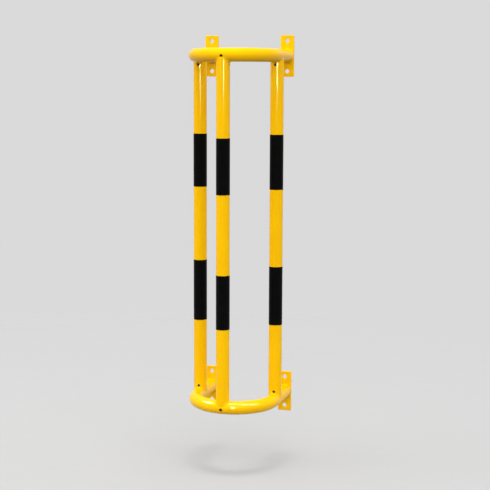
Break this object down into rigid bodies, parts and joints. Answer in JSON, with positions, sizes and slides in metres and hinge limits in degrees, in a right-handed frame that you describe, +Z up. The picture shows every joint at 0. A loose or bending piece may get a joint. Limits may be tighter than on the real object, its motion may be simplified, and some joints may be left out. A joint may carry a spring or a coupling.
{
  "type": "pipe protection guard",
  "caption": "U-shaped rings of steel tube at top and bottom, joined by upright tubes and carried on drilled plates, fixed to a wall in front of a pipe to take knocks.",
  "frame": {"origin": "on the wall plane, midway between the lower wall plates, at the height of the lower ring's centreline", "axes": "+Z up along the uprights, +Y towards the wall, +X to the right for someone facing the guard"},
  "size_m": [0.3414, 0.3357, 1.4],
  "materials": {
    "yellow_powder_coat": "gloss",
    "black_film": "satin"
  },
  "bodies": {
    "root": {"lower_ring": "yellow_powder_coat", "upper_ring": "yellow_powder_coat", "upright_left": "yellow_powder_coat", "upright_middle": "yellow_powder_coat", "upright_right": "yellow_powder_coat", "wall_plate_lower_left": "yellow_powder_coat", "wall_plate_lower_right": "yellow_powder_coat", "wall_plate_upper_left": "yellow_powder_coat", "wall_plate_upper_right": "yellow_powder_coat", "weld_plate_lower_left": "yellow_powder_coat", "weld_plate_lower_right": "yellow_powder_coat", "weld_plate_upper_left": "yellow_powder_coat", "weld_plate_upper_right": "yellow_powder_coat", "weld_upright_lower_left": "yellow_powder_coat", "weld_upright_lower_middle": "yellow_powder_coat", "weld_upright_lower_right": "yellow_powder_coat", "weld_upright_upper_left": "yellow_powder_coat", "weld_upright_upper_middle": "yellow_powder_coat", "weld_upright_upper_right": "yellow_powder_coat", "band_left_lower": "black_film", "band_left_upper": "black_film", "band_middle_lower": "black_film", "band_middle_upper": "black_film", "band_right_lower": "black_film", "band_right_upper": "black_film"}
  },
  "joints": []
}
